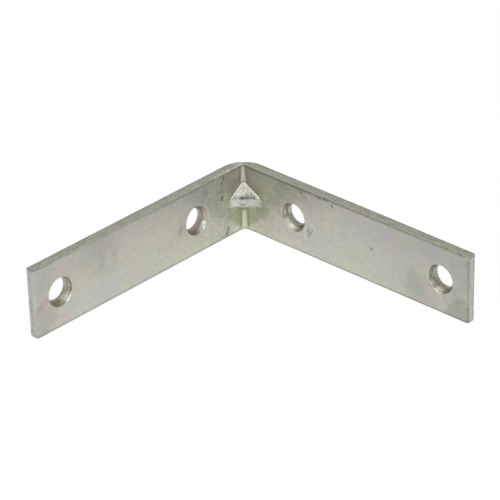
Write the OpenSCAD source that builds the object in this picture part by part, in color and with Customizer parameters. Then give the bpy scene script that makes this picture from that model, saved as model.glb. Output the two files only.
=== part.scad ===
// Angle bracket (corner brace) for the inside of a right-angled joint.
// Two equal legs bent from one steel strip, with four countersunk screw holes and a
// stiffening dart pressed into the middle of the bend.
// The heel, where the two back faces would meet, is the Z axis. One leg runs along +X
// and the other along +Y, and the bracket stands on the long edges of both. Millimetres.

/* [Strip] */
// Length of each leg, from the heel
leg_length = 75; // [55:0.5:120]
// Width of the strip
strip_width = 18; // [16:0.5:30]
// Thickness of the strip
strip_thickness = 3; // [2.5:0.1:3.6]
// Radius on the two upright edges of each leg end
end_radius = 1; // [0.3:0.1:1.2]
// Radius on the corners of each leg end, seen on the face of the leg
corner_radius = 1.1; // [0.3:0.1:3]

/* [Bend] */
// Outside radius of the bend
bend_radius = 6.5; // [5:0.25:7]
// Radius of the fillet in the inside corner
inside_radius = 1; // [0.4:0.1:1.3]

/* [Screw holes] */
// Heel to the centre of the hole nearer the bend
near_hole = 19.5; // [16:0.5:26]
// Leg end to the centre of the hole nearer the end
end_margin = 8.5; // [7:0.5:20]
// Diameter of the screw holes
bore_diameter = 6; // [3.6:0.1:7]
// Diameter of the countersinks on the inner faces
sink_diameter = 8.2; // [7.2:0.1:10]
// Included angle of the countersinks
sink_angle = 90; // [80:5:120]

/* [Dart] */
// Length of the dart along the bend, where it leaves the inside corner
dart_length = 8.6; // [6:0.2:12]
// Length of the blunt nose of the dart
nose_length = 2.4; // [1.8:0.2:4]
// Reach of the nose from the inside corner
dart_reach = 3.6; // [2.5:0.1:4.5]
// Radius on the upper and lower edges of the nose
nose_radius = 0.5; // [0.2:0.05:0.7]
// Height of the dart above the middle of the strip
dart_shift = 0.3; // [-1:0.1:1]
// Wall left between the dart and the dent behind it
dart_wall = 2; // [1.6:0.1:2.4]
// Width of the flat at the bottom of the dent
dent_flat = 0.8; // [0.6:0.1:1.2]

/* [Hidden] */
$fn = 96;
steel = [0.66, 0.65, 0.60];
// Length by which a cut runs past the surface it opens
clear = 1;
// Depth to which the root of the dart is buried in the strip
bury = 0.5;
mid_width = strip_width / 2;
hole_stations = [near_hole, leg_length - end_margin];
sink_half_angle = sink_angle / 2;
sink_depth = (sink_diameter - bore_diameter) / 2 / tan(sink_half_angle);
// Distances from the heel along the bisector of the bend
inside_corner = norm([strip_thickness, strip_thickness]);
nose_face = inside_corner + dart_reach;
// Fall of the dart's sloping faces, in height for each unit of reach
slope = (dart_length - nose_length) / 2 / dart_reach;
// Height of a wall or radius measured square to a sloping face
slope_factor = norm([1, slope]);
// Half height of the dart, and of the dent behind it, at a distance along the bisector
function dart_half(along) = dart_length / 2 - slope * (along - inside_corner);
function dent_half(along) = dart_half(along) - dart_wall * slope_factor;
dent_floor = min(nose_face - dart_wall,
                 inside_corner + (dent_half(inside_corner) - dent_flat / 2) / slope);

// Lays a copy of one leg's shape over the other leg
module other_leg() {
    mirror([1, -1, 0]) children();
}

// Extrudes a section drawn along the bisector (X) and up (Y) across the whole bend
module across_bend() {
    rotate([0, 0, 45]) rotate([90, 0, 0])
        linear_extrude(4 * nose_face, center = true) children();
}

// One straight leg seen from above, with its rounded end
module leg_plan() {
    straight = leg_length - bend_radius;
    translate([bend_radius, 0]) {
        square([straight - end_radius, strip_thickness]);
        translate([0, end_radius])
            square([straight, strip_thickness - 2 * end_radius]);
        for (y = [end_radius, strip_thickness - end_radius])
            translate([straight - end_radius, y]) circle(end_radius);
    }
}

// One leg seen square to its face, with the corners of its end rounded
module leg_face() {
    translate([0, corner_radius])
        square([leg_length, strip_width - 2 * corner_radius]);
    square([leg_length - corner_radius, strip_width]);
    for (y = [corner_radius, strip_width - corner_radius])
        translate([leg_length - corner_radius, y]) circle(corner_radius);
}

module leg() {
    intersection() {
        linear_extrude(strip_width) leg_plan();
        translate([0, strip_thickness + clear, 0]) rotate([90, 0, 0])
            linear_extrude(strip_thickness + 2 * clear) leg_face();
    }
}

// The bend seen from above, rounded outside and thinned where the strip was folded
module bend_plan() {
    inner = strip_thickness + inside_radius;
    difference() {
        intersection() {
            square(bend_radius);
            translate([bend_radius, bend_radius]) circle(bend_radius);
        }
        translate([inner, strip_thickness]) square(bend_radius);
        translate([strip_thickness, inner]) square(bend_radius);
        translate([inner, inner]) circle(inside_radius);
    }
}

// Section of the dart: sloping above and below, blunt at the nose, rounded between
module dart_section() {
    root = inside_corner - bury;
    centre = nose_face - nose_radius;
    centre_height = dart_half(centre) - nose_radius * slope_factor;
    touch = [nose_radius * slope, nose_radius] / slope_factor;
    half = [[root, dart_half(root)],
            [centre + touch[0], centre_height + touch[1]],
            [nose_face, centre_height]];
    polygon(concat(half, [for (i = [2:-1:0]) [half[i][0], -half[i][1]]]));
    for (side = [-1, 1])
        translate([centre, side * centre_height]) circle(nose_radius);
}

module dart() {
    intersection() {
        translate([strip_thickness - bury, strip_thickness - bury, 0])
            cube([2 * nose_face, 2 * nose_face, strip_width]);
        translate([0, 0, mid_width + dart_shift]) across_bend() dart_section();
    }
}

// The dent left behind the dart by the punch
module dent() {
    translate([0, 0, mid_width + dart_shift]) across_bend()
        polygon([[-clear, dent_half(-clear)], [dent_floor, dent_half(dent_floor)],
                 [dent_floor, -dent_half(dent_floor)], [-clear, -dent_half(-clear)]]);
}

// Screw hole through a leg, countersunk on the inner face
module screw_hole(station) {
    translate([station, 0, mid_width]) rotate([-90, 0, 0]) {
        translate([0, 0, -clear])
            cylinder(h = strip_thickness + 2 * clear, d = bore_diameter);
        translate([0, 0, strip_thickness - sink_depth])
            cylinder(h = sink_depth + clear, d1 = bore_diameter,
                     d2 = sink_diameter + 2 * clear * tan(sink_half_angle));
    }
}

module bracket() {
    color(steel) difference() {
        union() {
            leg();
            other_leg() leg();
            linear_extrude(strip_width) bend_plan();
            dart();
        }
        dent();
        for (station = hole_stations) {
            screw_hole(station);
            other_leg() screw_hole(station);
        }
    }
}

bracket();
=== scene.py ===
import math

import bmesh
import bpy
import numpy as np
from mathutils import Matrix, Vector


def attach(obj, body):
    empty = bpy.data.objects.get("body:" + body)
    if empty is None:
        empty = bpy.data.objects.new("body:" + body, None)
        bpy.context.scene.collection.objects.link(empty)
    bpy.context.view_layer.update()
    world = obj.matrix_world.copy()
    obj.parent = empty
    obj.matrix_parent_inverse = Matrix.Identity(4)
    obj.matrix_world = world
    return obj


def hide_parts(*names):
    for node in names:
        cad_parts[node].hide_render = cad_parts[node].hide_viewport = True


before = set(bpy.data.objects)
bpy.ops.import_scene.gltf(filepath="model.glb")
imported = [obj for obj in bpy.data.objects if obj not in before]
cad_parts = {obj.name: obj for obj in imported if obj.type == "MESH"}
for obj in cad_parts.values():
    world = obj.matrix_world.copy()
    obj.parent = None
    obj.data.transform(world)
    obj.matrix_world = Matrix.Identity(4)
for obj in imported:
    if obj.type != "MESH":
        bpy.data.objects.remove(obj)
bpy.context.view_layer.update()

MM = 0.001

# ------------------------------------------------------------------ sizes, in millimetres
LEG = 75.0              # heel to leg end
WIDTH = 18.08           # width of the strip
THICK = 3.0             # thickness of the strip
BEND_OUT = 6.6          # outside radius of the bend
BEND_IN = 0.72          # fillet in the inside corner at the top
BEND_GROWS = 0.42       # and what it gains below,
BEND_GROWS_OVER = 4.0   # over about this height
FLARE, FLARE_OVER = 0.6, 0.8    # what it gains again at its very foot
ABOVE_DART = 0.25       # and just above the dart
SKEW = 0.013            # the strip leans this much sideways across the fold, per mm of height
SLANT = 0.02            # the Y leg's end is cut this much off square, per mm of height
END_R = 1.0             # radius on the upright edges of a leg end
CORNER_LOW = 0.35       # radius on the lower corner of a leg end, next to its inner face
CORNER_BACK = 1.2       # and next to its back face
CORNER_HIGH = 0.4, 0.95 # radius on the upper corner of the X leg and of the Y leg
EDGE_TOP = 0.15         # softness of the upper edges
EDGE_LOW_X = 0.10       # of the X leg's lower edges
EDGE_LOW_Y = 0.38       # and of the Y leg's
EDGE_UNEVEN = 0.18      # and how uneven they are
DROP, DROP_FROM, DROP_OVER = 0.12, 50.0, 16.0   # the Y leg's upper edge drops by a hair towards its end
TOE, TOE_OVER = 0.22, 1.2       # the ends are this much longer low down
LUMP, LUMP_AT, LUMP_WIDE = 0.12, 1.5, 1.3       # the fold squeezes up a low lump on each side,
NOTCH, NOTCH_WIDE = 0.26, 0.75  # and leaves a notch between them
HOLES = (19.5, 66.5)    # heel to hole centres
HOLE_Z = 9.0
# side, hole -> (along, height, radius) of the countersink's lip, the same of the bore, and the depth of
# the cone's foot; side is -1 for the X leg and 1 for the Y leg
PUNCHED = {
    (-1, 19.5): ((19.83, 9.25, 3.90), (19.79, 8.83, 3.00), 1.50),
    (-1, 66.5): ((66.82, 9.36, 3.84), (66.31, 9.18, 3.10), 1.15),
    (1, 19.5): ((19.60, 9.06, 3.79), (19.41, 9.15, 2.90), 1.50),
    (1, 66.5): ((66.74, 9.18, 3.76), (66.45, 9.09, 3.02), 1.75)}
DART_HALF = 4.3         # half length of the dart along the bend
NOSE_HALF = 1.2         # half length of its nose
DART_REACH = 3.6        # reach of its nose from the inside corner
NOSE_R = 0.35           # softness of the ridges above and below the nose
DART_TURN = 0.09        # how much further the dart reaches towards the Y leg, per mm across
DART_BOW = 0.04         # how much shorter its lower half is,
DART_BOW_TURN = 0.037   # and how much more so towards the Y leg, per mm across
CREASE = 0.16           # softness of its creases above and below the nose,
CREASE_NOSE = 0.7       # and what that gains beside the nose,
NOSE_REACH = 1.9        # which is this far from its middle
DART_Z = 9.3            # height of its middle
DART_WALL = 2.0         # wall between the dart and the dent behind it
DENT_FLAT = 0.8         # width of the dent's floor
DENT_R, DENT_LIP = 0.8, 0.5     # softness of the dent's floor and of its mouth

ROOT2 = math.sqrt(2.0)
CORNER = THICK * ROOT2  # inside corner, measured along the bisector
NOSE_FACE = CORNER + DART_REACH
SLOPE = (DART_HALF - NOSE_HALF) / DART_REACH
STEEP = math.hypot(1.0, SLOPE)
DENT_HALF = DART_HALF - DART_WALL * STEEP
DENT_FLOOR = CORNER + (DENT_HALF - DENT_FLAT / 2) / SLOPE


def smooth_max(a, b, k):
    """The larger of a and b, blended over a band k wide: max + (k - |a-b|)^2 / 4k inside the band."""
    h = np.maximum(k - np.abs(a - b), 0.0)
    return np.maximum(a, b) + h * h / (4.0 * k)


def smooth_min(a, b, k):
    """The smaller of a and b, blended over a band k wide."""
    return -smooth_max(-a, -b, k)


def ease(x):
    """Smoothstep: 3x^2 - 2x^3 on the range 0 to 1, flat outside it."""
    x = np.clip(x, 0.0, 1.0)
    return x * x * (3.0 - 2.0 * x)


# ------------------------------------------------------------------ the strip: s along it, z across it
FOLD = 12.0             # the fold's own shape ends this far from the heel


def lay(along, across, z):
    """A point from its distance along the bisector, its distance across it (towards the Y leg) and its
    height."""
    return np.stack([(along - across) / ROOT2, (along + across) / ROOT2, z], axis=-1)


def inner_face(s, z):
    """Inner face. s is the distance from the heel, negative on the X leg.
    Near the fold it is a height along the bisector: the two leg planes |p| + corner, a circular fillet
    between them that widens downwards, and the dart's section where that stands further out."""
    x = np.abs(s)
    p = np.sign(s) * (x - THICK * ease(x / FOLD)) / ROOT2
    flat = np.abs(p) + CORNER
    radius = BEND_IN + BEND_GROWS * (1 - np.exp(-(WIDTH - z) / BEND_GROWS_OVER))
    radius = radius + FLARE * np.exp(-z / FLARE_OVER)
    radius = radius + ABOVE_DART * np.exp(-((z - DART_Z - DART_HALF - 0.5) / 0.9) ** 2)
    arc = (THICK + radius) * ROOT2 - np.sqrt(np.maximum(radius ** 2 - p * p, 0.0))
    along = np.where(np.abs(p) < radius / ROOT2, arc, flat)
    up = np.abs(z - DART_Z)
    bow = -(DART_BOW + DART_BOW_TURN * p) * (z < DART_Z)
    dart = CORNER + (DART_HALF - up + bow) / SLOPE
    dart = smooth_min(dart, NOSE_FACE + 0 * up, NOSE_R) + DART_TURN * p
    # its side creases are crisp above and below the nose, and the nose itself runs softly into the legs
    along = smooth_max(along, dart, CREASE + CREASE_NOSE * ease(NOSE_REACH - up))
    return lay(along, p, z)


def outer_face(s, z):
    """Outer face: the two back planes |p|, the bend's arc between them and the dent behind the dart."""
    p = s / ROOT2
    arc = BEND_OUT * ROOT2 - np.sqrt(np.maximum(BEND_OUT ** 2 - p * p, 0.0))
    along = np.where(np.abs(p) < BEND_OUT / ROOT2, arc, np.abs(p))
    up = np.abs(z - DART_Z)
    dent = smooth_min(CORNER + (DENT_HALF - up) / SLOPE, DENT_FLOOR + 0 * up, DENT_R)
    along = smooth_max(along, dent, DENT_LIP)
    return lay(along, p, z)


def steps(*marks):
    """One rising list of values: each mark after the first is (value, how many equal steps lead to it)."""
    values = [marks[0]]
    for value, count in marks[1:]:
        values.extend(values[-1] + (value - values[-1]) * (np.arange(count) + 1) / count)
    return np.array(values)


def wander(s, seed):
    """A slow, repeatable unevenness between about -1 and 1: three sines of s with phases from the seed."""
    rate = np.array([0.31, 0.83, 1.9])
    phase = np.array([1.3, 2.1, 0.4]) * seed
    size = np.array([0.5, 0.3, 0.2])
    return (size * np.sin(np.asarray(s)[..., None] * rate + phase)).sum(-1)


ROLLED, SHEARED, BORED = 0, 1, 2     # the three finishes, in the order of the piece's material slots
BLOCK_Z = (3.0, 15.0)   # rows between these run straight through the hole blocks
BLOCK_X = 6.0           # half length of a hole block
ROWS_OUT, ROWS_MID = 7, 84      # rows outside them, on each side, and between them


def stations():
    """Stations from the X leg's end to the Y leg's as (s, thickness inset, lower inset, upper inset), denser
    where the form turns. Over the last millimetre or so of a leg the insets follow quarter circles."""
    bend_ends = 8.8
    straight = steps(0.0, (bend_ends, 62), (HOLES[0] - BLOCK_X, 14), (HOLES[0] + BLOCK_X, 40),
                     (HOLES[1] - BLOCK_X, 30), (HOLES[1] + BLOCK_X, 40), (LEG - END_R, 5))
    turn = np.radians(np.linspace(0, 90, 15)[1:])
    x = np.concatenate([straight, LEG - END_R + END_R * np.sin(turn)])
    s = np.concatenate([-x[:0:-1], x])

    def inset(radius):
        over = np.maximum(np.abs(s) - (LEG - radius), 0)
        return radius - np.sqrt(np.maximum(radius ** 2 - over ** 2, 0))
    high = inset(np.where(s < 0, *CORNER_HIGH)) + DROP * ease((s - DROP_FROM) / DROP_OVER)
    return s, inset(END_R), inset(CORNER_LOW), high


def edge_softness(s, upper, back):
    """Radius of a long edge at s on its inner or back side, a little uneven as rolled and tumbled strip is.
    The lower edge goes from one leg's radius to the other's through the fold, and on its back it grows
    into the leg end's rubbed corner. All close at the leg ends by radius times sqrt(1 - 0.9 over^2)."""
    half_fold = FOLD / 2
    radius = EDGE_TOP if upper else EDGE_LOW_X + (EDGE_LOW_Y - EDGE_LOW_X) * ease((s + half_fold) / FOLD)
    radius = radius * (1 + EDGE_UNEVEN * wander(s, 3.0 if upper else 5.0))
    past = np.abs(s) - LEG + END_R
    if back and not upper:
        grows_over = 2.5
        radius = radius + (CORNER_BACK - radius) * ease((past + grows_over) / grows_over)
    over = np.clip(past / END_R, 0, 1)
    return radius * np.sqrt(1 - 0.9 * over ** 2)


def rows(s, low, high, back):
    """Heights of a face's rows at each station, from the lower long edge's radius to the upper one's."""
    low = low + edge_softness(s, False, back)
    high = WIDTH - high - edge_softness(s, True, back)
    f = np.linspace(0, 1, ROWS_OUT + 1) ** 0.8
    lower = low[:, None] + (BLOCK_Z[0] - low)[:, None] * f[None]
    middle = np.broadcast_to(np.linspace(*BLOCK_Z, ROWS_MID + 1)[1:-1], (len(s), ROWS_MID - 1))
    upper = high[:, None] + (BLOCK_Z[1] - high)[:, None] * f[None, ::-1]
    return np.concatenate([lower, middle, upper], axis=1)


def faces_at(s, thin, z):
    """Points of the inner and outer face on the rows z, drawn towards each other by the end inset, the
    inner one by 0.6 of it."""
    s2 = np.broadcast_to(s[:, None], z.shape)
    inner, outer = inner_face(s2, z), outer_face(s2, z)
    share = (thin / THICK)[:, None, None]
    return inner + (outer - inner) * share * 0.6, outer + (inner - outer) * share


def long_edge(s, thin, narrow, upper):
    """The band over a long edge from the inner face to the outer one: quarter circle, flat, quarter
    circle."""
    on_turn, on_flat = 6, 7
    side = 1.0 if upper else -1.0
    end = WIDTH - narrow if upper else narrow
    turn = np.radians(np.linspace(0, 90, on_turn))
    soft, soft_back = edge_softness(s, upper, False), edge_softness(s, upper, True)
    inner = faces_at(s, thin, (end - side * soft)[:, None])[0][:, 0]
    outer = faces_at(s, thin, (end - side * soft_back)[:, None])[1][:, 0]
    thick = np.linalg.norm((inner - outer)[:, :2], axis=1)
    sink, rise = 1 - np.cos(turn), np.sin(turn)
    first, last = soft / thick, 1 - soft_back / thick
    flat = first[:, None] + (last - first)[:, None] * np.linspace(0, 1, on_flat + 2)[None, 1:-1]
    w = np.concatenate([first[:, None] * sink, flat, 1 - (1 - last)[:, None] * sink[::-1]], axis=1)
    lift = np.concatenate([rise, np.ones(on_flat), rise[::-1]])
    inner_turn, outer_turn = (np.repeat(r[:, None], on_turn, 1) for r in (soft, soft_back))
    radius = np.concatenate([inner_turn, 0 * flat, outer_turn], axis=1)
    points = inner[:, None] + (outer - inner)[:, None] * w[..., None]
    # the fold squeezes two low lumps up past the inside corner and leaves a notch between them
    squeeze = (LUMP if upper else 0.0) * np.exp(-((np.abs(s) - LUMP_AT) / LUMP_WIDE) ** 2)[:, None] * (1 - w)
    squeeze = squeeze - NOTCH * np.exp(-(s / NOTCH_WIDE) ** 2)[:, None] * (0.4 + 0.6 * w)
    points[..., 2] = end[:, None] + side * (squeeze * lift - radius * (1 - lift))
    return points


def on_leg(side, x, depth, z):
    """A point on a leg, x from the heel and depth from the back face."""
    return np.stack([x, depth, z] if side < 0 else [depth, x, z], axis=-1)


def arc_profile(radius, centre, start, stop, count):
    """Points (hole radius, depth) on an arc between two angles in degrees."""
    a = np.radians(np.linspace(start, stop, count))
    return np.stack([centre[0] + radius * np.cos(a), centre[1] + radius * np.sin(a)], axis=-1)


def hole_profile(bore, sink, foot):
    """Radius and depth down a screw hole: rounded lip, cone, rounded shoulder, bore, rounded back edge. The
    cone's slope follows from its two radii and the depth of its foot."""
    lip, shoulder, back = 0.3, 0.2, 0.12
    slope = math.atan2(THICK - foot, sink - bore)
    cut = math.tan(slope / 2)
    steep = 90 + math.degrees(slope)
    under_shoulder = foot - shoulder / math.tan(math.pi / 4 + slope / 2)
    return np.concatenate([
        arc_profile(lip, (sink + lip * cut, THICK - lip), 90, steep, 6),
        arc_profile(shoulder, (bore + shoulder, under_shoulder), steep, 180, 5),
        np.array([[bore, foot * 0.5]]),
        arc_profile(back, (bore + back, back), 180, 270, 5)])


def hole_block(side, centre, x, z):
    """The square of leg round a screw hole and the hole itself, as three grids of rings: from the square's
    outline on the inner face in to the lip, down the profile, and out to the square's outline on the back."""
    xs = np.concatenate([x[:-1], np.full(len(z) - 1, x[-1]), x[:0:-1], np.full(len(z) - 1, x[0])])
    zs = np.concatenate([np.full(len(x) - 1, z[0]), z[:-1], np.full(len(x) - 1, z[-1]), z[:0:-1]])
    lip, bore, foot = PUNCHED[side, centre]
    angle = np.arctan2(zs - lip[1], xs - lip[0])
    profile = hole_profile(bore[2], lip[2], foot)
    spread = np.linspace(0, 1, 7)[:-1, None] ** 0.9
    # the cone leads from the bore's centre to the lip's
    share = np.clip((profile[:, 1:] - foot) / (THICK - foot), 0, 1)
    ring_x = bore[0] + (lip[0] - bore[0]) * share + profile[:, :1] * np.cos(angle)
    ring_z = bore[1] + (lip[1] - bore[1]) * share + profile[:, :1] * np.sin(angle)
    down = on_leg(side, ring_x, profile[:, 1:] + 0 * angle, ring_z)

    def disc(ring, depth):
        px, pz = xs + (ring_x[ring] - xs) * spread, zs + (ring_z[ring] - zs) * spread
        return on_leg(side, px, np.full_like(px, depth), pz)
    front = np.concatenate([disc(0, THICK), down[:1]])
    rear = np.concatenate([down[-1:], disc(-1, 0.0)[::-1]])
    return [(np.concatenate([rings, rings[:, :1]], axis=1), finish)
            for rings, finish in ((front, ROLLED), (down, BORED), (rear, ROLLED))]


def skewed(points):
    """The points leaned sideways across the fold by SKEW per mm of height about the middle of the strip,
    the last few millimetres of the Y leg drawn out by SLANT per mm of height, and both ends a hair longer
    low down."""
    x, y, z = points[..., 0], points[..., 1], points[..., 2]
    lean = SKEW * (HOLE_Z - z) / ROOT2
    drawn = SLANT * (z - 3.0) * ease((y - 70.6) / 4.0)
    toe = TOE * np.exp(-z / TOE_OVER)
    toe_x, toe_y = (toe * ease(along - LEG + 1.0) for along in (x, y))
    return np.stack([x - lean + toe_x, y + lean + drawn + toe_y, z], axis=-1)


def bracket_patches():
    """Every grid of points of the bracket with the finish it wears; the grids meet along shared outlines."""
    s, thin, low, high = stations()
    z = rows(s, low, high, False)
    inner, outer = faces_at(s, thin, z)[0], faces_at(s, thin, rows(s, low, high, True))[1]
    upper, lower = long_edge(s, thin, high, True), long_edge(s, thin, low, False)
    patches = [(upper, SHEARED), (lower, SHEARED)]
    band = slice(ROWS_OUT, ROWS_OUT + ROWS_MID + 1)
    edges = [side * (h + half) for side in (-1, 1) for h in HOLES for half in (-BLOCK_X, BLOCK_X)]
    edges = sorted([-LEG, LEG] + edges)
    for first, last in zip(edges[:-1], edges[1:]):
        i, j = np.searchsorted(s, first - 1e-9), np.searchsorted(s, last - 1e-9)
        run = slice(i, j + 1)
        near, far = sorted((abs(first), abs(last)))
        hole = [h for h in HOLES if near < h < far]
        for face in (inner, outer):
            patches += [(face[run, :ROWS_OUT + 1], ROLLED), (face[run, ROWS_OUT + ROWS_MID:], ROLLED)]
            if not hole:
                patches.append((face[run, band], ROLLED))
        if hole:
            side = -1 if first < 0 else 1
            at = np.sort(np.abs(s[run]))
            patches += hole_block(side, hole[0], at, z[i, band])
    for end in (0, -1):
        # the flat of each leg end, closed from its outline to its middle line
        loop = np.concatenate([inner[end, :-1], upper[end, :-1], outer[end, ::-1][:-1], lower[end, ::-1]])
        # both halves meet there at the inner face's heights
        level = inner[end, :, 2]
        rise = np.concatenate([level[:-1], upper[end, :-1, 2], level[::-1][:-1], lower[end, ::-1, 2]])
        rise = np.clip(rise, CORNER_LOW + 1, WIDTH - max(CORNER_HIGH) - 1)
        middle = on_leg(-1 if end == 0 else 1, np.full(len(loop), LEG), np.full(len(loop), THICK / 2), rise)
        share = np.linspace(0, 1, 5)[:, None, None]
        patches.append((loop[None] + (middle - loop)[None] * share, SHEARED))
    return [(skewed(grid), finish) for grid, finish in patches]


def join_patches(name, patches):
    """One closed mesh from grids of points: quads of each grid, then points less than 0.2 micrometres apart
    joined."""
    points, quads, finishes, start = [], [], [], 0
    for grid, finish in patches:
        m, n = grid.shape[:2]
        index = start + np.arange(m * n).reshape(m, n)
        corners = [index[:-1, :-1], index[1:, :-1], index[1:, 1:], index[:-1, 1:]]
        quads.append(np.stack(corners, -1).reshape(-1, 4))
        points.append(grid.reshape(-1, 3))
        finishes.append(np.full((m - 1) * (n - 1), finish))
        start += m * n
    mesh = bpy.data.meshes.new(name)
    mesh.from_pydata((np.concatenate(points) * MM).tolist(), [], np.concatenate(quads).tolist())
    mesh.polygons.foreach_set("material_index", np.concatenate(finishes).astype(np.int32))
    body = bmesh.new()
    body.from_mesh(mesh)
    bmesh.ops.remove_doubles(body, verts=body.verts, dist=2e-7)
    bmesh.ops.dissolve_degenerate(body, edges=body.edges, dist=1e-7)
    bmesh.ops.recalc_face_normals(body, faces=body.faces)
    body.to_mesh(mesh)
    body.free()
    mesh.shade_smooth()
    piece = bpy.data.objects.new(name, mesh)
    bpy.context.scene.collection.objects.link(piece)
    return piece


bracket = join_patches("plated_bracket", bracket_patches())
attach(bracket, "root")
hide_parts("bracket")

# ------------------------------------------------------------------ zinc plating: tools
def hands(tree):
    """Two short hands for one node tree: put() adds a node with its settings and inputs, and calc() adds a
    Math node and gives back its result."""
    def put(kind, values=(), **settings):
        node = tree.nodes.new(kind)
        for key, value in settings.items():
            setattr(node, key, value)
        for name, value in (values.items() if isinstance(values, dict) else enumerate(values)):
            if isinstance(value, bpy.types.NodeSocket):
                tree.links.new(value, node.inputs[name])
            else:
                node.inputs[name].default_value = value
        return node

    def calc(operation, *terms):
        return put("ShaderNodeMath", terms, operation=operation).outputs[0]
    return put, calc


def new_group(name, inputs, outputs):
    """An empty shader node group: inputs as name: default (a number or a vector), outputs as name: kind."""
    tree = bpy.data.node_groups.new(name, "ShaderNodeTree")
    for label, default in inputs.items():
        kind = "NodeSocketVector" if isinstance(default, tuple) and len(default) == 3 else (
            "NodeSocketColor" if isinstance(default, tuple) else "NodeSocketFloat")
        socket = tree.interface.new_socket(name=label, in_out="INPUT", socket_type=kind)
        socket.default_value = default
    for label, kind in outputs.items():
        tree.interface.new_socket(name=label, in_out="OUTPUT", socket_type="NodeSocket" + kind)
    given = tree.nodes.new("NodeGroupInput").outputs
    result = tree.nodes.new("NodeGroupOutput").inputs
    return tree, given, result


def ramp(put, value, *stops):
    """A colour ramp through (position, colour) stops."""
    node = put("ShaderNodeValToRGB", [value])
    band = node.color_ramp
    while len(band.elements) < len(stops):
        band.elements.new(0.5)
    for element, (position, colour) in zip(band.elements, stops):
        element.position = position
    for element, (position, colour) in zip(band.elements, stops):
        element.color = colour if len(colour) == 4 else (*colour, 1)
    return node.outputs["Color"]


def blend_colour(put, share, first, second, mode="MIX"):
    """One colour laid over another by a share."""
    node = put("ShaderNodeMix", data_type="RGBA", blend_type=mode, clamp_factor=True)
    for index, value in ((0, share), (6, first), (7, second)):
        if isinstance(value, bpy.types.NodeSocket):
            node.id_data.links.new(value, node.inputs[index])
        else:
            node.inputs[index].default_value = value if index == 0 else (*value, 1)
    return node.outputs[2]


def map_value(put, value, low, high, to_low=0.0, to_high=1.0, kind="SMOOTHSTEP"):
    """A value carried from one range to another, held at its ends."""
    return put("ShaderNodeMapRange", [value, low, high, to_low, to_high], interpolation_type=kind).outputs[0]


def between(put, value, start, full, fading, gone):
    """1 where a value lies from full to fading, sinking to 0 at start and at gone."""
    rise, fall = map_value(put, value, start, full), map_value(put, value, fading, gone, 1.0, 0.0)
    return put("ShaderNodeMath", [rise, fall], operation="MULTIPLY").outputs[0]


def noise(put, place, scale, detail=2.0, rough=0.5):
    """Soft noise between 0 and 1."""
    values = {"Vector": place, "Scale": scale, "Detail": detail, "Roughness": rough}
    return put("ShaderNodeTexNoise", values).outputs["Fac"]


# ------------------------------------------------------------------ zinc plating: shared effects
def make_strip_frame():
    """Where a point lies on the bent strip, in millimetres and with the strip's skew undone: its place, its
    distance along its own leg, its depth from the back face, its height, and its leg (0 for X, 1 for Y)."""
    tree, given, result = new_group("strip_frame", {}, {
        "Place": "Vector", "Along": "Float", "Depth": "Float", "Height": "Float", "Leg": "Float"})
    put, calc = hands(tree)
    point = put("ShaderNodeTexCoord").outputs["Object"]
    place = put("ShaderNodeVectorMath", operation="SCALE")
    tree.links.new(point, place.inputs[0])
    place.inputs["Scale"].default_value = 1000.0
    xyz = put("ShaderNodeSeparateXYZ", [place.outputs[0]]).outputs
    lean = calc("MULTIPLY", calc("SUBTRACT", HOLE_Z, xyz[2]), SKEW / ROOT2)
    x, y = calc("ADD", xyz[0], lean), calc("SUBTRACT", xyz[1], lean)
    tree.links.new(put("ShaderNodeCombineXYZ", [x, y, xyz[2]]).outputs[0], result["Place"])
    tree.links.new(calc("MAXIMUM", x, y), result["Along"])
    tree.links.new(calc("MINIMUM", x, y), result["Depth"])
    tree.links.new(xyz[2], result["Height"])
    tree.links.new(calc("GREATER_THAN", y, x), result["Leg"])
    return tree


def make_chromate_tints():
    """The thin clear coat's faint rainbow: three sizes of cloud, added and read through a ramp of pale tints,
    times a patchy change in lightness."""
    tree, given, result = new_group("chromate_tints", {
        "Place": (0.0, 0.0, 0.0), "Strength": 1.0, "Lightness": 1.0}, {"Color": "Color", "Cloud": "Float"})
    put, calc = hands(tree)
    wide = noise(put, given["Place"], 0.075, 2.0, 0.5)
    small = noise(put, given["Place"], 0.26, 3.0, 0.55)
    tiny = noise(put, given["Place"], 1.1, 3.0, 0.6)
    finer = calc("ADD", calc("MULTIPLY", small, 0.40), calc("MULTIPLY", tiny, 0.15))
    mixed = calc("ADD", calc("MULTIPLY", wide, 0.45), finer)
    spread = calc("ADD", 0.5, calc("MULTIPLY", calc("SUBTRACT", mixed, 0.5), given["Strength"]))
    tint = ramp(put, spread,
                (0.32, (0.485, 0.490, 0.490)), (0.41, (0.500, 0.510, 0.470)), (0.47, (0.512, 0.530, 0.455)),
                (0.53, (0.535, 0.528, 0.450)), (0.58, (0.545, 0.510, 0.455)), (0.67, (0.535, 0.490, 0.475)))
    patchy = noise(put, given["Place"], 0.5, 5.0, 0.65)
    light = calc("MULTIPLY", given["Lightness"], map_value(put, patchy, 0.25, 0.75, 0.93, 1.07, "LINEAR"))
    grey = put("ShaderNodeCombineColor", [light, light, light]).outputs[0]
    tree.links.new(blend_colour(put, 1.0, tint, grey, "MULTIPLY"), result["Color"])
    tree.links.new(patchy, result["Cloud"])
    return tree


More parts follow.
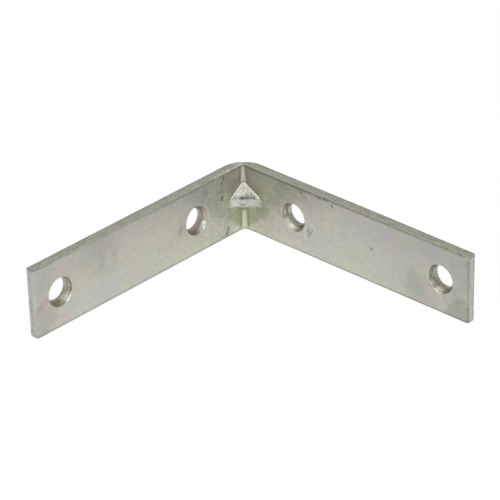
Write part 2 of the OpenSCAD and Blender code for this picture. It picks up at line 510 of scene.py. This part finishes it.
def make_fine_grain():
    """Fine grain of the plated skin, drawn out along the strip: a value for colour and a normal for light."""
    tree, given, result = new_group("fine_grain", {
        "Along": 0.0, "Depth": 0.0, "Height": 0.0, "Leg": 0.0, "Stretch": 0.5, "Relief": 0.3}, {
        "Grain": "Float", "Normal": "Vector"})
    put, calc = hands(tree)
    # the legs read the noise far apart, so that they don't mirror each other
    apart = calc("MULTIPLY", given["Leg"], 40.0)
    along = calc("ADD", calc("MULTIPLY", given["Along"], given["Stretch"]), apart)
    drawn = put("ShaderNodeCombineXYZ", [along, given["Depth"], given["Height"]]).outputs[0]
    grain = noise(put, drawn, 1.4, 4.0, 0.7)
    grain = calc("ADD", grain, calc("MULTIPLY", calc("SUBTRACT", noise(put, drawn, 4.2, 1.0), 0.5), 0.9))
    swell = noise(put, drawn, 0.8, 2.0, 0.5)
    height = calc("ADD", calc("MULTIPLY", grain, 0.35), swell)
    bump = put("ShaderNodeBump", {"Strength": given["Relief"], "Distance": 0.00006, "Height": height})
    tree.links.new(grain, result["Grain"])
    tree.links.new(bump.outputs[0], result["Normal"])
    return tree


def make_soft_patch():
    """A soft-edged round patch: 1 at its centre, 0 past its radius, its rim wandering with a slow noise."""
    tree, given, result = new_group("soft_patch", {
        "Place": (0.0, 0.0, 0.0), "Centre": (0.0, 0.0, 0.0), "Radius": 5.0}, {"Mask": "Float"})
    put, calc = hands(tree)
    away = put("ShaderNodeVectorMath", [given["Place"], given["Centre"]], operation="DISTANCE")
    wavy = calc("MULTIPLY", calc("SUBTRACT", noise(put, given["Place"], 0.45, 3.0), 0.5), 1.4)
    ratio = calc("ADD", calc("DIVIDE", away.outputs["Value"], given["Radius"]), wavy)
    tree.links.new(map_value(put, ratio, 0.15, 1.0, 1.0, 0.0), result["Mask"])
    return tree


def make_nick():
    """A short mark between two points: 1 within its width of the line between them, broken into specks by a
    fine noise; Broken 0 leaves it whole and 1 leaves scattered specks."""
    tree, given, result = new_group("nick", {
        "Place": (0.0, 0.0, 0.0), "From": (0.0, 0.0, 0.0), "To": (1.0, 0.0, 0.0), "Width": 0.3,
        "Broken": 0.3}, {"Mask": "Float"})
    put, calc = hands(tree)

    def vector(operation, *terms):
        return put("ShaderNodeVectorMath", terms, operation=operation).outputs
    line = vector("SUBTRACT", given["To"], given["From"])[0]
    # each place is shaken by up to half a swing either way, so that the mark's sides are ragged
    swing = 0.9
    shake = put("ShaderNodeTexNoise", {"Vector": given["Place"], "Scale": 2.2, "Detail": 3.0})
    back = vector("ADD", given["Place"], (-swing / 2,) * 3)[0]
    shaken = vector("MULTIPLY_ADD", shake.outputs["Color"], (swing,) * 3, back)[0]
    off = vector("SUBTRACT", shaken, given["From"])[0]
    reached, length = (vector("DOT_PRODUCT", first, line)["Value"] for first in (off, line))
    share = calc("DIVIDE", reached, length)
    held = put("ShaderNodeClamp", [share]).outputs[0]
    foot = put("ShaderNodeVectorMath", operation="SCALE")
    tree.links.new(line, foot.inputs[0])
    tree.links.new(held, foot.inputs["Scale"])
    gap = vector("LENGTH", vector("SUBTRACT", off, foot.outputs[0])[0])["Value"]
    near = map_value(put, calc("DIVIDE", gap, given["Width"]), 0.4, 1.0, 1.0, 0.0)
    speck = noise(put, given["Place"], 2.4, 3.0, 0.6)
    limit = calc("ADD", 0.30, calc("MULTIPLY", given["Broken"], 0.28))
    speck = map_value(put, calc("SUBTRACT", speck, limit), -0.02, 0.09)
    tree.links.new(calc("MULTIPLY", near, speck), result["Mask"])
    return tree


def make_dart_shading_and_streaks():
    """Painted light and shade round the dart, and streaks down its face, as one factor for colour. across is
    the distance from the bisector and out how far the dart's section stands over the leg there, so out = 0 is
    the dart's crease."""
    tree, given, result = new_group("dart_shading_and_streaks", {
        "Place": (0.0, 0.0, 0.0), "Grain": 0.5}, {"Shade": "Float"})
    put, calc = hands(tree)
    xyz = put("ShaderNodeSeparateXYZ", [given["Place"]]).outputs
    turn = calc("MULTIPLY", calc("SUBTRACT", xyz[1], xyz[0]), 1 / ROOT2)
    across = calc("ABSOLUTE", turn)
    up = calc("SUBTRACT", xyz[2], DART_Z)
    out = calc("ADD", calc("DIVIDE", calc("SUBTRACT", DART_HALF, calc("ABSOLUTE", up)), SLOPE),
               calc("SUBTRACT", calc("MULTIPLY", turn, DART_TURN), across))
    inside = calc("MULTIPLY", map_value(put, xyz[0], 2.0, 2.5), map_value(put, xyz[1], 2.0, 2.5))
    patchy = map_value(put, given["Grain"], 0.36, 0.60)
    # painted shade: dark lines beside the fillet and round the dart
    beside = between(put, across, 0.68, 0.88, 1.02, 1.22)
    beside = calc("MULTIPLY", beside, map_value(put, out, -0.6, -0.2, 1.0, 0.0))
    beside = calc("MULTIPLY", beside, calc("ADD", 0.08, calc("MULTIPLY", patchy, 0.16)))
    crease = calc("MULTIPLY", between(put, out, -0.52, -0.30, -0.05, 0.17), map_value(put, up, 0.6, 1.2))
    crease = calc("MULTIPLY", crease, calc("ADD", 0.26, calc("MULTIPLY", patchy, 0.20)))
    dark = calc("MAXIMUM", beside, crease)
    # painted highlights: bright rims along the dart's upper sides, whole on the right and broken on the left
    above = map_value(put, up, 0.7, 1.3)
    right = map_value(put, turn, -0.2, 0.6)
    low_down = map_value(put, up, 1.2, 3.8, 0.50, 0.10)
    highlight_share = calc("MAXIMUM", calc("MULTIPLY", right, 0.8), map_value(put, given["Grain"], 0.46, 0.58))
    rim = calc("MULTIPLY", above, calc("MULTIPLY", low_down, highlight_share))
    rim = calc("MULTIPLY", between(put, out, -0.07, 0.05, 0.22, 0.34), rim)
    # streaks down the dart's upper face, a painted dark reflection on its ridge, and painted shade over its
    # right half
    on_dart = map_value(put, out, 0.35, 0.7)
    drawn = put("ShaderNodeCombineXYZ", [turn, 0.0, calc("MULTIPLY", up, 0.35)]).outputs[0]
    streak = noise(put, drawn, 1.5, 4.0, 0.7)
    upper = calc("MULTIPLY", on_dart, map_value(put, up, 1.4, 1.7))
    streaks = calc("MULTIPLY", upper, map_value(put, streak, 0.30, 0.68, -0.14, 0.14, "LINEAR"))
    ragged = calc("MULTIPLY", calc("SUBTRACT", streak, 0.5), 2.2)
    shaded_right = map_value(put, calc("ADD", up, ragged), 1.5, 2.3, 0.42, 0.0)
    right_half = calc("MULTIPLY", map_value(put, turn, -0.2, 0.7), map_value(put, up, 1.2, 1.5))
    shaded_right = calc("MULTIPLY", calc("MULTIPLY", shaded_right, right_half), on_dart)
    ridge_up = calc("SUBTRACT", up, calc("MULTIPLY", ragged, 0.45))
    dark_reflection_share = calc("MULTIPLY", on_dart, map_value(put, streak, 0.36, 0.58, 1.0, 0.6))
    ridge = calc("MULTIPLY", between(put, ridge_up, 0.68, 0.98, 1.42, 1.72), dark_reflection_share)
    stronger = map_value(put, turn, -1.5, -0.6, 0.52, 0.86)
    ridge = calc("MULTIPLY", ridge, calc("MULTIPLY", stronger, map_value(put, turn, 2.5, 3.0, 1.0, 0.2)))
    # lighter patches above the ridge, towards the X leg
    patchy_on_dart = calc("MULTIPLY", on_dart, map_value(put, streak, 0.44, 0.62))
    lighter_above_ridge = calc("MULTIPLY", between(put, up, 1.35, 1.75, 2.35, 2.75), patchy_on_dart)
    lighter_above_ridge = calc("MULTIPLY", lighter_above_ridge, between(put, turn, -1.8, -1.1, -0.1, 0.4))
    light = calc("ADD", calc("ADD", rim, streaks), calc("MULTIPLY", lighter_above_ridge, 0.25))
    less = calc("ADD", calc("ADD", dark, calc("MULTIPLY", upper, 0.08)), calc("MAXIMUM", ridge, shaded_right))
    shade = calc("ADD", 1.0, calc("MULTIPLY", inside, calc("SUBTRACT", light, less)))
    tree.links.new(shade, result["Shade"])
    return tree


STRIP_FRAME, CHROMATE, GRAIN = make_strip_frame(), make_chromate_tints(), make_fine_grain()
PATCH, NICK, DART_SHADING = make_soft_patch(), make_nick(), make_dart_shading_and_streaks()


def place_group(put, tree, **values):
    """One group placed in a material with its own values."""
    node = put("ShaderNodeGroup")
    node.node_tree = tree
    for name, value in values.items():
        if isinstance(value, bpy.types.NodeSocket):
            node.id_data.links.new(value, node.inputs[name])
        else:
            node.inputs[name].default_value = value
    return node.outputs


def new_finish(name):
    """A metal material whose colour, roughness and normal are still open, and its tools."""
    material = bpy.data.materials.new(name)
    material.use_nodes = True
    shader = material.node_tree.nodes["Principled BSDF"]
    shader.inputs["Metallic"].default_value = 1.0
    put, calc = hands(material.node_tree)
    frame_of = place_group(put, STRIP_FRAME)
    return material, shader, put, calc, frame_of


def settle(material, shader, colour, roughness, normal):
    """Colour, roughness and normal joined to the shader."""
    for name, socket in (("Base Color", colour), ("Roughness", roughness), ("Normal", normal)):
        material.node_tree.links.new(socket, shader.inputs[name])


# places on the inner faces in millimetres
def on_x(along, height):
    return (along, THICK, height)


def on_y(along, height):
    return (THICK, along, height)


PINK, STRAW, BLUE = (0.59, 0.48, 0.47), (0.58, 0.53, 0.41), (0.48, 0.49, 0.54)
LEAF, EARTH = (0.47, 0.51, 0.37), (0.47, 0.42, 0.36)
# (centre, radius, tint, share)
TINT_PATCHES = [
    (on_x(71.0, 8.0), 5.0, PINK, 0.6), (on_x(64.5, 14.8), 3.2, PINK, 0.5),
    (on_x(59.5, 11.0), 5.5, STRAW, 0.65), (on_x(71.0, 15.5), 4.5, BLUE, 0.35),
    (on_x(66.0, 3.0), 4.0, PINK, 0.4), (on_x(31.0, 13.0), 6.5, STRAW, 0.5),
    (on_x(38.0, 17.0), 4.0, PINK, 0.45), (on_x(46.0, 15.0), 5.0, PINK, 0.25),
    (on_x(57.0, 15.5), 5.0, BLUE, 0.35), (on_x(42.0, 7.5), 8.0, STRAW, 0.35),
    (on_x(51.0, 3.5), 7.0, BLUE, 0.3), (on_x(31.0, 7.0), 4.0, LEAF, 0.3),
    (on_x(22.0, 16.2), 4.5, BLUE, 0.35), (on_x(17.0, 3.0), 5.0, LEAF, 0.35),
    (on_x(27.5, 4.5), 6.5, STRAW, 0.45), (on_y(27.0, 13.0), 5.5, PINK, 0.4),
    (on_y(31.0, 11.5), 4.5, STRAW, 0.55), (on_y(42.0, 14.5), 6.5, BLUE, 0.4),
    (on_y(50.0, 15.2), 4.5, BLUE, 0.5), (on_y(51.5, 12.0), 4.2, PINK, 0.6),
    (on_y(64.0, 15.5), 7.0, BLUE, 0.5), (on_y(58.5, 5.5), 5.0, LEAF, 0.4),
    (on_y(40.0, 5.5), 5.0, LEAF, 0.3)]
CORNER_PATCHES = [
    (on_x(15.3, 10.5), 2.6, PINK, 0.45), (on_x(12.5, 8.5), 8.0, (0.56, 0.59, 0.48), 0.55),
    (on_y(10.0, 9.5), 6.5, LEAF, 0.40), ((3.6, 3.6, 3.5), 6.0, (0.50, 0.53, 0.36), 0.7),
    ((5.6, 5.6, 9.0), 4.0, (0.475, 0.495, 0.475), 0.75), ((3.3, 3.3, 15.0), 2.2, PINK, 0.5),
    (on_x(6.0, 15.5), 3.4, EARTH, 0.5), (on_y(7.6, 13.6), 4.0, EARTH, 0.6)]
EDGE_PATCHES = [
    ((4.5, 1.5, WIDTH), 3.5, BLUE, 0.7), ((1.0, 5.0, WIDTH), 4.5, LEAF, 0.6),
    ((1.5, 64.0, WIDTH), 12.0, LEAF, 0.5)]
# (centre, radius, factor): painted light and shade, places where the face is painted lighter or darker
LIGHT_AND_SHADE_PATCHES = [
    (on_x(14.0, 16.5), 7.0, 1.20), (on_x(22.0, 16.5), 7.0, 1.10), (on_x(9.2, 9.6), 4.5, 1.26),
    ((4.6, 4.6, 4.3), 7.5, 1.24), ((4.4, 4.4, 6.2), 2.4, 0.66), (on_y(8.5, 3.5), 6.0, 0.91),
    (on_x(10.5, 6.5), 4.5, 0.92), (on_x(10.0, 1.5), 3.5, 0.86), ((7.2, 5.2, 9.3), 2.5, 0.94),
    (on_x(5.2, 16.5), 2.6, 1.22), (on_x(24.5, 9.5), 5.0, 0.86), (on_x(53.0, 15.0), 9.0, 0.87),
    (on_x(73.0, 4.0), 8.0, 0.82), (on_x(73.0, 12.0), 6.0, 0.90), (on_y(9.0, 13.5), 5.0, 1.16),
    (on_y(12.0, 16.0), 5.0, 1.08), (on_y(12.0, 8.5), 3.5, 1.12), (on_y(8.4, 8.5), 2.5, 0.87),
    (on_y(60.0, 4.0), 7.0, 0.88), (on_y(73.0, 2.0), 7.0, 0.78), (on_y(73.0, 10.0), 9.0, 0.91)]
# (centre, radius, colour factor): the same in the holes, painted highlights where they catch a lamp and
# painted shade where they are dark
PAINTED_HIGHLIGHT, OLIVE_SHADE, DUSKY_SHADE = (1.75, 1.85, 1.92), (0.80, 0.84, 0.74), (0.90, 0.86, 0.90)
CONE_PATCHES = [
    ((17.4, 2.3, 6.7), 1.4, (1.20, 1.34, 1.45)), ((18.6, 2.6, 5.8), 1.6, (1.34, 1.50, 1.62)),
    ((20.6, 3.0, 5.4), 1.4, OLIVE_SHADE), ((16.2, 2.6, 9.5), 2.4, (1.20, 1.18, 1.22)),
    ((64.1, 2.5, 6.9), 2.0, PAINTED_HIGHLIGHT), ((65.2, 2.1, 6.1), 2.1, (1.50, 1.56, 1.50)),
    ((62.9, 2.7, 10.6), 2.4, (1.14, 1.08, 1.08)), ((67.0, 2.4, 5.7), 1.6, (1.05, 1.10, 0.98)),
    ((2.3, 18.8, 5.8), 1.8, (2.1, 2.1, 2.15)), ((2.4, 17.3, 6.6), 1.3, (1.12, 1.12, 1.15)),
    ((2.3, 16.5, 7.4), 1.3, (0.66, 0.70, 0.60)), ((1.9, 20.9, 6.3), 2.0, (0.95, 1.0, 0.84)),
    ((2.4, 16.2, 9.8), 2.6, (1.22, 1.24, 1.24)), ((2.3, 66.0, 5.8), 1.8, (2.2, 2.1, 2.15)),
    ((2.3, 63.2, 9.8), 2.6, (1.24, 1.18, 1.24)), ((2.5, 68.0, 5.9), 1.8, (0.98, 0.98, 0.84)),
    ((2.5, 64.4, 6.9), 1.3, DUSKY_SHADE)]
# (from, to, width, broken, share)
DARK_NICKS = [
    (on_x(10.1, 17.5), on_x(10.1, 16.6), 0.40, 0.35, 0.5),
    (on_x(10.9, 16.2), on_x(10.9, 15.5), 0.40, 0.2, 0.42),
    (on_x(10.7, 14.4), on_x(10.8, 13.0), 0.36, 0.6, 0.4),
    (on_x(10.8, 12.0), on_x(10.9, 11.3), 0.46, 0.1, 0.55),
    (on_x(8.9, 2.8), on_x(8.8, 1.6), 0.38, 0.1, 0.6), (on_x(9.1, 1.3), on_x(9.9, 1.2), 0.52, 0.2, 0.6),
    (on_x(25.5, 9.3), on_x(26.0, 8.4), 0.34, 0.2, 0.4), (on_x(26.0, 9.2), on_x(26.6, 8.8), 0.3, 0.6, 0.4),
    (on_y(22.0, 17.0), on_y(23.6, 17.4), 0.60, 0.7, 0.55),
    (on_y(22.6, 17.2), on_y(23.6, 16.0), 0.60, 0.75, 0.55),
    (on_y(25.0, 17.5), on_y(27.2, 17.2), 0.50, 0.75, 0.5),
    (on_y(28.0, 17.6), on_y(28.6, 17.4), 0.40, 0.2, 0.55),
    (on_y(29.8, 17.6), on_y(31.0, 17.5), 0.30, 0.3, 0.5),
    (on_y(32.4, 17.0), on_y(32.8, 16.3), 0.42, 0.3, 0.5),
    ((6.11, 4.98, 8.58), (5.5, 5.6, 8.58), 0.42, 0.1, 0.45),
    (on_y(16.0, 8.3), on_y(16.6, 7.6), 0.60, 0.2, 0.45),
    (on_y(24.5, 7.3), on_y(25.0, 5.4), 0.60, 0.65, 0.5),
    (on_y(25.8, 7.6), on_y(25.4, 6.6), 0.50, 0.6, 0.5), (on_y(24.2, 9.4), on_y(24.6, 8.2), 0.60, 0.9, 0.4),
    (on_y(44.9, 9.6), on_y(45.3, 9.3), 0.40, 0.1, 0.45)]


# ------------------------------------------------------------------ zinc plating: the three finishes
def rolled_face():
    """Flat rolled faces: chromate tints, patches of tint, painted shade towards the upper edge and in the
    corner, fine grain, dark nicks, and painted light and shade in patches and round the dart, with streaks
    down it."""
    material, shader, put, calc, at = new_finish("zinc_on_rolled_face")
    tints = place_group(put, CHROMATE, Place=at["Place"])
    colour = tints["Color"]
    for centre, radius, tint, share in TINT_PATCHES + CORNER_PATCHES:
        mask = place_group(put, PATCH, Place=at["Place"], Centre=centre, Radius=radius)["Mask"]
        colour = blend_colour(put, calc("MULTIPLY", mask, share), colour, tint)
    grain = place_group(put, GRAIN, Along=at["Along"], Depth=at["Depth"], Height=at["Height"], Leg=at["Leg"])
    # painted shade: darker towards the upper edge, most over its last few millimetres
    near_top = map_value(put, at["Height"], 8.0, 18.0, 0.0, 1.0)
    shade = calc("SUBTRACT", 1.02, calc("MULTIPLY", near_top, 0.10))
    # painted light and shade: each patch makes the face lighter or darker by its factor
    for centre, radius, factor in LIGHT_AND_SHADE_PATCHES:
        mask = place_group(put, PATCH, Place=at["Place"], Centre=centre, Radius=radius)["Mask"]
        shade = calc("MULTIPLY", shade, calc("ADD", 1.0, calc("MULTIPLY", mask, factor - 1.0)))
    # painted shade: a thin dark line where the face meets the sheared edge, strongest by the bend and on the
    # Y leg
    line = map_value(put, at["Height"], WIDTH - 0.56, WIDTH - 0.32)
    faded = map_value(put, at["Along"], 14.0, 62.0, 1.0, 0.40)
    on_this_leg = map_value(put, at["Along"], 12.0, 62.0, 0.32, 0.0)
    on_this_leg = calc("MAXIMUM", on_this_leg, calc("MULTIPLY", at["Leg"], calc("MULTIPLY", faded, 0.46)))
    line = calc("MULTIPLY", line, on_this_leg)
    # and painted shade: a darker foot, and a dark band where the Y leg's end rounds over; the Y leg is also a
    # little darker towards its end
    foot = map_value(put, at["Height"], 0.15, 0.95, 0.26, 0.0)
    far = calc("MULTIPLY", at["Leg"], map_value(put, at["Along"], 38.0, 60.0, 0.0, 0.075))
    turned = calc("MULTIPLY", map_value(put, at["Along"], 74.5, 74.9), calc("MULTIPLY", at["Leg"], 0.17))
    line = calc("ADD", calc("ADD", line, foot), calc("ADD", far, turned))
    # the grain is coarser near the bend, where the press has worked the skin
    worked = map_value(put, at["Along"], 12.0, 62.0, 0.50, 0.17)
    speckle = calc("ADD", 1.0, calc("MULTIPLY", calc("SUBTRACT", grain["Grain"], 0.5), worked))
    drawn = put("ShaderNodeCombineXYZ", [at["Along"], at["Leg"], calc("MULTIPLY", at["Height"], 0.1)])
    brushed = calc("SUBTRACT", noise(put, drawn.outputs[0], 1.1, 3.0, 0.6), 0.5)
    brushed = calc("MULTIPLY", brushed, map_value(put, at["Along"], 8.0, 26.0, 0.36, 0.05))
    speckle = calc("ADD", speckle, brushed)
    shade = calc("MULTIPLY", calc("SUBTRACT", shade, line), speckle)
    for start, end, width, broken, share in DARK_NICKS:
        nick = place_group(put, NICK, Place=at["Place"], From=start, To=end, Width=width, Broken=broken)
        shade = calc("MULTIPLY", shade, calc("SUBTRACT", 1.0, calc("MULTIPLY", nick["Mask"], share)))
    # painted light and shade round the dart, with its streaks
    round_dart = place_group(put, DART_SHADING, Place=at["Place"], Grain=grain["Grain"])
    shade = calc("MULTIPLY", shade, round_dart["Shade"])
    grey = put("ShaderNodeCombineColor", [shade, shade, shade]).outputs[0]
    colour = blend_colour(put, 1.0, colour, grey, "MULTIPLY")
    roughness = calc("ADD", 0.30, calc("MULTIPLY", tints["Cloud"], 0.16))
    settle(material, shader, colour, roughness, grain["Normal"])
    return material


def sheared_edge():
    """Long edges and leg ends: greener and duller, with fine lines drawn along the strip."""
    material, shader, put, calc, at = new_finish("zinc_on_sheared_edge")
    tints = place_group(put, CHROMATE, Place=at["Place"], Strength=0.5, Lightness=0.93)
    colour = blend_colour(put, 0.55, tints["Color"], (0.52, 0.53, 0.43))
    at_end = map_value(put, at["Along"], 73.6, 74.6)
    colour = blend_colour(put, calc("MULTIPLY", at_end, 0.8), colour, (0.44, 0.46, 0.42))
    for centre, radius, tint, share in EDGE_PATCHES:
        mask = place_group(put, PATCH, Place=at["Place"], Centre=centre, Radius=radius)["Mask"]
        colour = blend_colour(put, calc("MULTIPLY", mask, share), colour, tint)
    # painted shade along the foot
    foot = map_value(put, at["Height"], 0.15, 0.6, 0.42, 0.0)
    grain = place_group(put, GRAIN, Along=at["Along"], Depth=at["Depth"], Height=at["Height"], Leg=at["Leg"],
                        Stretch=0.3, Relief=0.45)
    speckle = calc("ADD", 1.0, calc("MULTIPLY", calc("SUBTRACT", grain["Grain"], 0.5), 1.05))
    # painted shade on the edge next to the inner face on the Y leg; just behind it a painted glint on the X
    # leg by the bend
    before_end = map_value(put, at["Along"], 73.5, 74.0, 1.0, 0.0)
    inner = calc("MULTIPLY", map_value(put, at["Depth"], 2.86, 2.94), before_end)
    near_bend = map_value(put, at["Along"], 5.0, 16.0, 1.0, 0.0)
    glint = calc("MULTIPLY", near_bend, map_value(put, grain["Grain"], 0.36, 0.54, 0.16, 0.78))
    glint = calc("MULTIPLY", glint, between(put, at["Depth"], 2.2, 2.45, 2.7, 2.9))
    glint = calc("MULTIPLY", glint, calc("SUBTRACT", 1.0, at["Leg"]))
    speckle = calc("MULTIPLY", speckle, calc("ADD", 1.0, glint))
    inner = calc("MULTIPLY", inner, calc("MULTIPLY", at["Leg"], 0.30))
    # darker towards the back, and a faint painted highlight just before the inner edge
    outer = map_value(put, at["Depth"], 0.45, 1.0, 0.11, 0.0)
    outer = calc("MULTIPLY", outer, calc("ADD", 1.0, near_bend))
    pale = calc("MULTIPLY", between(put, at["Depth"], 1.9, 2.25, 2.4, 2.65), 0.08)
    across = calc("SUBTRACT", calc("SUBTRACT", pale, inner), outer)
    speckle = calc("MULTIPLY", speckle, calc("ADD", 1.0, across))
    # a mottled line down the middle of the X leg's end, where the shear's cut turns into the break
    broken = between(put, at["Depth"], 1.1, 1.4, 1.8, 2.1)
    broken = calc("MULTIPLY", broken, calc("MULTIPLY", at_end, calc("SUBTRACT", 1.0, at["Leg"])))
    broken = calc("MULTIPLY", broken, map_value(put, grain["Grain"], 0.42, 0.62, 0.12, 0.02))
    speckle = calc("MULTIPLY", speckle, calc("SUBTRACT", 1.0, calc("MAXIMUM", foot, broken)))
    # the grey carries the grain together with the painted shade and highlights of the edge
    grey = put("ShaderNodeCombineColor", [speckle, speckle, speckle]).outputs[0]
    colour = blend_colour(put, 1.0, colour, grey, "MULTIPLY")
    roughness = calc("ADD", 0.34, calc("MULTIPLY", tints["Cloud"], 0.18))
    settle(material, shader, colour, roughness, grain["Normal"])
    return material


def bored_hole():
    """Countersinks and bores: turned, browner, with fine rings round the hole, and painted highlights and
    shade in patches.
    """
    material, shader, put, calc, at = new_finish("zinc_in_countersink")
    tints = place_group(put, CHROMATE, Place=at["Place"], Strength=0.7, Lightness=0.95)
    turned = blend_colour(put, at["Leg"], (0.50, 0.44, 0.36), (0.43, 0.425, 0.36))
    colour = blend_colour(put, 0.65, tints["Color"], turned)
    ring = noise(put, put("ShaderNodeCombineXYZ", [0.0, at["Depth"], 0.0]).outputs[0], 3.2, 3.0, 0.7)
    tone = map_value(put, ring, 0.3, 0.7, 0.76, 1.14, "LINEAR")
    bore = map_value(put, at["Depth"], 1.2, 1.6, 1.0, 0.0)
    deep = calc("ADD", 0.97, calc("MULTIPLY", bore, 0.10))
    seat = between(put, at["Depth"], 1.25, 1.45, 1.55, 1.8)
    deep = calc("MULTIPLY", deep, calc("SUBTRACT", 1.0, calc("MULTIPLY", seat, 0.22)))
    tone = calc("MULTIPLY", tone, deep)
    grain = place_group(put, GRAIN, Along=at["Along"], Depth=at["Depth"], Height=at["Height"], Leg=at["Leg"],
                        Stretch=1.0, Relief=0.2)
    # mottled, and with a broken dark line just inside the lip
    lip = between(put, at["Depth"], 2.45, 2.65, 2.8, 2.95)
    lip = calc("MULTIPLY", lip, map_value(put, grain["Grain"], 0.40, 0.60, 0.26, 0.0))
    mottle = calc("ADD", 1.0, calc("MULTIPLY", calc("SUBTRACT", grain["Grain"], 0.5), 0.9))
    tone = calc("MULTIPLY", calc("MULTIPLY", tone, mottle), calc("SUBTRACT", 1.0, lip))
    grey = put("ShaderNodeCombineColor", [tone, tone, tone]).outputs[0]
    colour = blend_colour(put, 1.0, colour, grey, "MULTIPLY")
    # painted highlights and painted shade in the holes, as colour factors
    for centre, radius, factor in CONE_PATCHES:
        mask = place_group(put, PATCH, Place=at["Place"], Centre=centre, Radius=radius)["Mask"]
        colour = blend_colour(put, mask, colour, factor, "MULTIPLY")
    values = {"Strength": 0.18, "Distance": 0.00006, "Height": ring, "Normal": grain["Normal"]}
    bump = put("ShaderNodeBump", values)
    roughness = calc("ADD", calc("MULTIPLY", tints["Cloud"], 0.12), calc("MULTIPLY", bore, 0.19))
    roughness = calc("ADD", 0.34, roughness)
    settle(material, shader, colour, roughness, bump.outputs[0])
    return material


for finish in (rolled_face(), sheared_edge(), bored_hole()):
    bracket.data.materials.append(finish)

# ------------------------------------------------------------------ floor and backdrop
floor_mesh = bpy.data.meshes.new("floor")
reach = 3.0
corners = [(-reach, -reach, 0), (reach, -reach, 0), (reach, reach, 0), (-reach, reach, 0)]
floor_mesh.from_pydata(corners, [], [(0, 1, 2, 3)])
floor = bpy.data.objects.new("floor", floor_mesh)
floor.location.z = -0.00002
bpy.context.scene.collection.objects.link(floor)
# a camera and a reflection see the floor glow evenly; other light falls on it as on paper
white = bpy.data.materials.new("white_floor")
white.use_nodes = True
put, calc = hands(white.node_tree)
nodes = white.node_tree.nodes
paper = nodes["Principled BSDF"]
paper.inputs["Base Color"].default_value = (0.9, 0.9, 0.9, 1)
paper.inputs["Roughness"].default_value = 0.9
glow = put("ShaderNodeEmission", {"Color": (1, 1, 1, 1), "Strength": 1.08})
path = put("ShaderNodeLightPath").outputs
seen = calc("MAXIMUM", path["Is Camera Ray"], path["Is Glossy Ray"])
seen = calc("MAXIMUM", seen, path["Is Transmission Ray"])
blend = put("ShaderNodeMixShader", [calc("MULTIPLY", seen, 0.8), paper.outputs[0], glow.outputs[0]])
white.node_tree.links.new(blend.outputs[0], nodes["Material Output"].inputs["Surface"])
floor.data.materials.append(white)

world = bpy.data.worlds.new("studio")
bpy.context.scene.world = world
world.use_nodes = True
sky = world.node_tree.nodes["Background"]
sky.inputs["Color"].default_value = (1, 1, 1, 1)
sky.inputs["Strength"].default_value = 0.6


def softbox(name, azimuth, elevation, distance, width, height, power):
    """A rectangular lamp at a distance from the middle of the bracket, facing it."""
    az, el = math.radians(azimuth), math.radians(elevation)
    away = Vector((math.cos(az) * math.cos(el), math.sin(az) * math.cos(el), math.sin(el)))
    lamp = bpy.data.lights.new(name, "AREA")
    lamp.shape = "RECTANGLE"
    lamp.size, lamp.size_y = width, height
    lamp.energy = power
    box = bpy.data.objects.new(name, lamp)
    box.matrix_world = away.to_track_quat("Z", "Y").to_matrix().to_4x4()
    box.location = Vector((0.025, 0.025, 0.009)) + away * distance
    bpy.context.scene.collection.objects.link(box)


softbox("overhead_softbox", 43.0, 70.0, 1.1, 1.0, 0.8, 2.0)
softbox("left_softbox", 76.0, 30.0, 0.9, 0.40, 0.35, 1.5)
softbox("right_softbox", 10.0, 30.0, 0.9, 0.40, 0.35, 1.5)

# ------------------------------------------------------------------ camera
CAMERA_AZIMUTH, CAMERA_ELEVATION, CAMERA_ROLL = 43.234, 29.287, -1.096
CAMERA_TARGET = Vector((22.042, 22.698, 9.0)) * MM
CAMERA_DISTANCE = 734.677 * MM
CAMERA_LENS = 3030.843 / 500 * 36


def add_camera():
    """Camera at a distance behind its target; the roll turns it about its own line of sight."""
    az, el, roll = (math.radians(a) for a in (CAMERA_AZIMUTH, CAMERA_ELEVATION, CAMERA_ROLL))
    back = Vector((math.cos(az) * math.cos(el), math.sin(az) * math.cos(el), math.sin(el)))
    right = Vector((0, 0, 1)).cross(back).normalized()
    up = back.cross(right)
    right, up = (math.cos(roll) * right + math.sin(roll) * up, -math.sin(roll) * right + math.cos(roll) * up)
    data = bpy.data.cameras.new("camera")
    data.sensor_width = 36
    data.lens = CAMERA_LENS
    camera = bpy.data.objects.new("camera", data)
    camera.matrix_world = Matrix((right, up, back)).transposed().to_4x4()
    camera.location = CAMERA_TARGET + back * CAMERA_DISTANCE
    bpy.context.scene.collection.objects.link(camera)
    bpy.context.scene.camera = camera


add_camera()
bpy.context.scene.view_settings.view_transform = "Standard"
